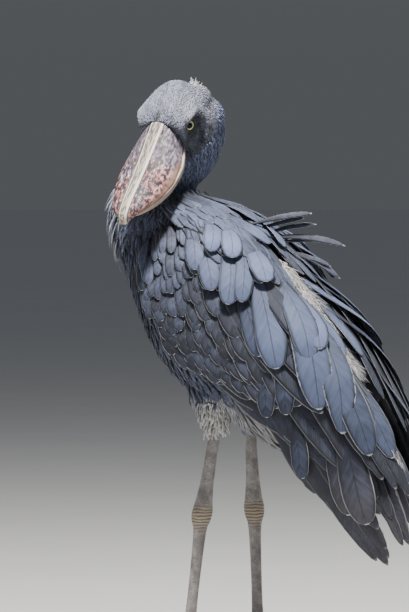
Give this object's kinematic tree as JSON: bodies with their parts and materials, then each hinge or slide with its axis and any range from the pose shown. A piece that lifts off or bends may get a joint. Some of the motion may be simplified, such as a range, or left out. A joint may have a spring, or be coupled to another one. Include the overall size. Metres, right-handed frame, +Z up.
{
  "type": "shoebill figure",
  "caption": "Life-size standing shoebill as a still museum figure, with folded wings, drawn-in neck and its great hooked bill turned to its left.",
  "frame": {"origin": "middle of the base of the whole bird's box, on the floor under its feet", "axes": "+Z up; the bird's body faces -Y and its left side is at +X; the head is turned to +X"},
  "size_m": [0.3823, 0.6406, 1.0386],
  "materials": {
    "plumage": "slate blue-grey feathers with thin pale edges; fabric stands in for feather",
    "down": "short soft grey feathers; fabric stands in for down",
    "bill_horn": "mottled cream, pink and grey horn; matte plastic stands in for horn",
    "eye": "glossy eye with a pale yellow iris",
    "leg_scale": "grey-brown scaled skin; matte plastic stands in for skin",
    "claw_horn": "dark horn; matte plastic stands in for horn"
  },
  "bodies": {
    "root": {"head": "plumage", "left_eye": "eye", "left_foot": "leg_scale", "left_hind_claw": "claw_horn", "left_inner_claw": "claw_horn", "left_middle_claw": "claw_horn", "left_outer_claw": "claw_horn", "left_shank": "leg_scale", "left_tarsus": "leg_scale", "left_thigh": "down", "left_wing": "plumage", "lower_bill": "bill_horn", "neck": "plumage", "right_eye": "eye", "right_foot": "leg_scale", "right_hind_claw": "claw_horn", "right_inner_claw": "claw_horn", "right_middle_claw": "claw_horn", "right_outer_claw": "claw_horn", "right_shank": "leg_scale", "right_tarsus": "leg_scale", "right_thigh": "down", "right_wing": "plumage", "tail": "plumage", "torso": "plumage", "upper_bill": "bill_horn"}
  },
  "joints": []
}
